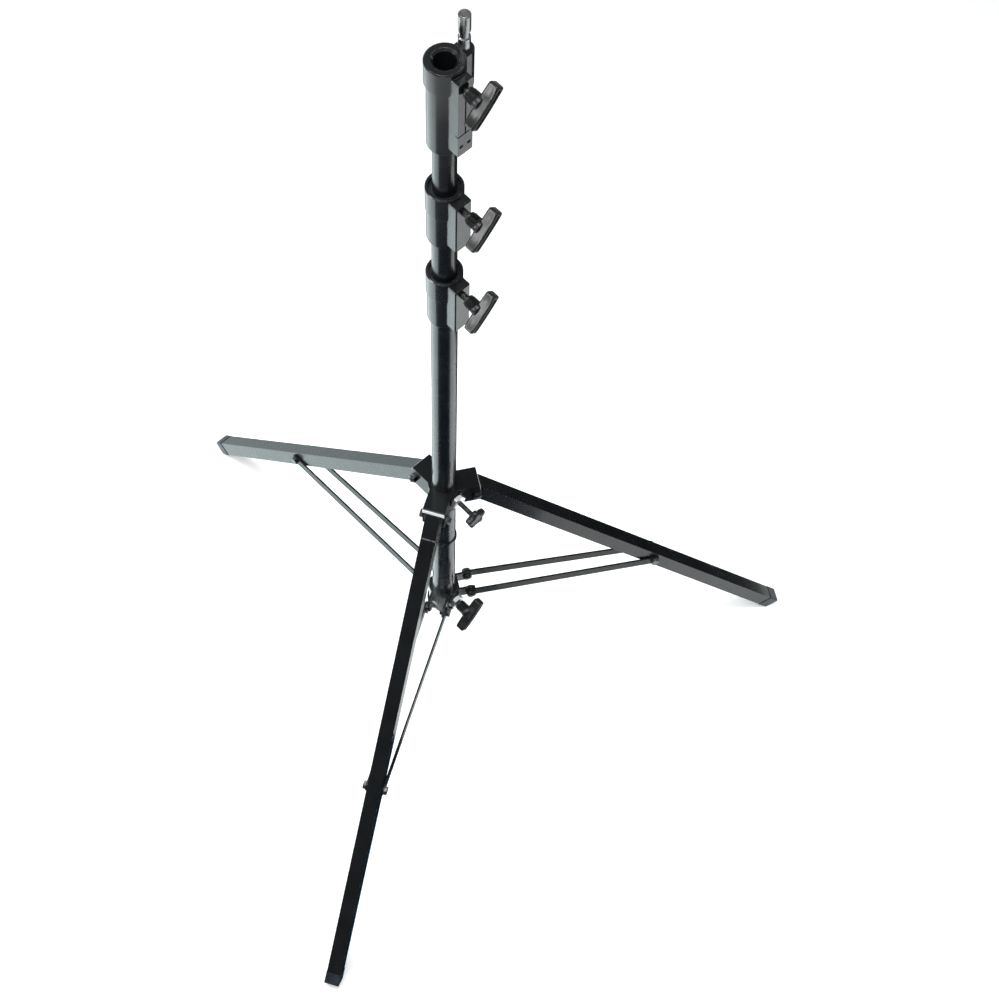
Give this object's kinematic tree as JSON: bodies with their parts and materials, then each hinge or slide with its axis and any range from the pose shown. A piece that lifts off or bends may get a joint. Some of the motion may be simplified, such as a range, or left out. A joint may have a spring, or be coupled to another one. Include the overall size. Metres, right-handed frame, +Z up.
{
  "type": "combo lighting stand",
  "caption": "Three-section lighting stand on folding double-braced legs, with clamp handles, a junior receiver and a baby pin on its combo head.",
  "frame": {"origin": "middle of the bounding box in plan, on the floor; the column stands 151.5 mm behind it", "axes": "+Z up the column; -Y along the front leg; +X to the right seen from the front"},
  "size_m": [1.0998, 0.9528, 1.7895],
  "materials": {
    "black_steel": "satin black powder coat",
    "black_casting": "black coat on a casting",
    "dark_steel": "blackened steel",
    "zinc_steel": "bright zinc plate",
    "handle_plastic": "moulded black nylon",
    "black_plastic": "moulded black plastic",
    "nylon": "black nylon",
    "brass": "turned brass"
  },
  "bodies": {
    "column": {"base_tube": "black_steel", "base_tube_plug": "black_plastic", "stop_ring": "black_casting", "upper_hub": "black_casting", "upper_hub_lock_nut": "zinc_steel", "leg_pivot_bolts": "dark_steel", "leg_pivot_nuts": "dark_steel", "lower_collar": "black_casting", "lower_collar_bush": "black_plastic", "lower_collar_shoe": "brass"},
    "lower_hub": {"lower_hub": "black_casting", "lower_hub_lock_nut": "zinc_steel", "brace_pivot_bolts": "dark_steel", "brace_pivot_nuts": "dark_steel"},
    "leg_front": {"leg_front": "black_steel", "foot_cap_front": "black_plastic", "leg_washers_front": "nylon", "brace_spacer_front": "dark_steel"},
    "leg_right": {"leg_right": "black_steel", "foot_cap_right": "black_plastic", "leg_washers_right": "nylon", "brace_spacer_right": "dark_steel"},
    "leg_left": {"leg_left": "black_steel", "foot_cap_left": "black_plastic", "leg_washers_left": "nylon", "brace_spacer_left": "dark_steel"},
    "braces_front": {"brace_front_a": "black_steel", "brace_front_b": "black_steel", "brace_end_bolts_front": "dark_steel"},
    "braces_right": {"brace_right_a": "black_steel", "brace_right_b": "black_steel", "brace_end_bolts_right": "dark_steel"},
    "braces_left": {"brace_left_a": "black_steel", "brace_left_b": "black_steel", "brace_end_bolts_left": "dark_steel"},
    "riser_1": {"riser_1": "black_steel", "riser_1_guide": "black_plastic", "upper_collar": "black_casting", "upper_collar_bush": "black_plastic", "upper_collar_shoe": "brass"},
    "riser_2": {"riser_2": "black_steel", "riser_2_guide": "black_plastic", "combo_head": "black_casting", "head_screws": "dark_steel", "baby_pin": "dark_steel"},
    "head_handle": {"head_handle": "handle_plastic", "head_handle_stud": "dark_steel"},
    "upper_collar_handle": {"upper_collar_handle": "handle_plastic", "upper_collar_handle_stud": "dark_steel"},
    "lower_collar_handle": {"lower_collar_handle": "handle_plastic", "lower_collar_handle_stud": "dark_steel"},
    "lower_hub_handle": {"lower_hub_handle": "handle_plastic", "lower_hub_handle_stud": "dark_steel"},
    "hub_lock_knob": {"hub_lock_knob": "handle_plastic", "hub_lock_knob_stud": "dark_steel"}
  },
  "joints": [
    {"name": "leg_front_fold", "type": "hinge", "parent": "column", "child": "leg_front", "pos_m": [0, 0.10297, 0.669], "axis": [1, 0, 0], "range_deg": [0, 32.7]},
    {"name": "leg_right_fold", "type": "hinge", "parent": "column", "child": "leg_right", "pos_m": [0.042, 0.17572, 0.669], "axis": [-0.5, 0.866, 0], "range_deg": [0, 32.7]},
    {"name": "leg_left_fold", "type": "hinge", "parent": "column", "child": "leg_left", "pos_m": [-0.042, 0.17572, 0.669], "axis": [-0.5, -0.866, 0], "range_deg": [0, 32.7]},
    {"name": "lower_hub_slide", "type": "slide", "parent": "column", "child": "lower_hub", "axis": [0, 0, 1], "range_m": [0, 0.1777]},
    {"name": "braces_front_swing", "type": "hinge", "parent": "lower_hub", "child": "braces_front", "pos_m": [0, 0.10797, 0.323], "axis": [1, 0, 0], "range_deg": [0, 72.38]},
    {"name": "braces_right_swing", "type": "hinge", "parent": "lower_hub", "child": "braces_right", "pos_m": [0.03767, 0.17322, 0.323], "axis": [-0.5, 0.866, 0], "range_deg": [0, 72.38]},
    {"name": "braces_left_swing", "type": "hinge", "parent": "lower_hub", "child": "braces_left", "pos_m": [-0.03767, 0.17322, 0.323], "axis": [-0.5, -0.866, 0], "range_deg": [0, 72.38]},
    {"name": "riser_1_slide", "type": "slide", "parent": "column", "child": "riser_1", "axis": [0, 0, 1], "range_m": [0, 0.78]},
    {"name": "riser_2_slide", "type": "slide", "parent": "riser_1", "child": "riser_2", "axis": [0, 0, 1], "range_m": [0, 0.94]},
    {"name": "head_handle_turn", "type": "hinge", "parent": "riser_2", "child": "head_handle", "pos_m": [0.03464, 0.13147, 1.708], "axis": [0.866, -0.5, 0], "range_deg": [0, 270]},
    {"name": "upper_collar_handle_turn", "type": "hinge", "parent": "riser_1", "child": "upper_collar_handle", "pos_m": [0.03464, 0.13147, 1.461], "axis": [0.866, -0.5, 0], "range_deg": [0, 270]},
    {"name": "lower_collar_handle_turn", "type": "hinge", "parent": "column", "child": "lower_collar_handle", "pos_m": [0.03464, 0.13147, 1.269], "axis": [0.866, -0.5, 0], "range_deg": [0, 270]},
    {"name": "lower_hub_handle_turn", "type": "hinge", "parent": "lower_hub", "child": "lower_hub_handle", "pos_m": [0.03464, 0.13147, 0.318], "axis": [0.866, -0.5, 0], "range_deg": [0, 270]},
    {"name": "hub_lock_knob_turn", "type": "hinge", "parent": "column", "child": "hub_lock_knob", "pos_m": [0.03464, 0.13147, 0.677], "axis": [0.866, -0.5, 0], "range_deg": [0, 360]}
  ],
  "couplings": [
    {"joint": "leg_right_fold", "follows": "leg_front_fold", "ratio": 1},
    {"joint": "leg_left_fold", "follows": "leg_front_fold", "ratio": 1},
    {"joint": "lower_hub_slide", "follows": "leg_front_fold", "m_per_rad": 0.31079},
    {"joint": "braces_front_swing", "follows": "leg_front_fold", "ratio": 2.2103},
    {"joint": "braces_right_swing", "follows": "leg_front_fold", "ratio": 2.2103},
    {"joint": "braces_left_swing", "follows": "leg_front_fold", "ratio": 2.2103}
  ]
}
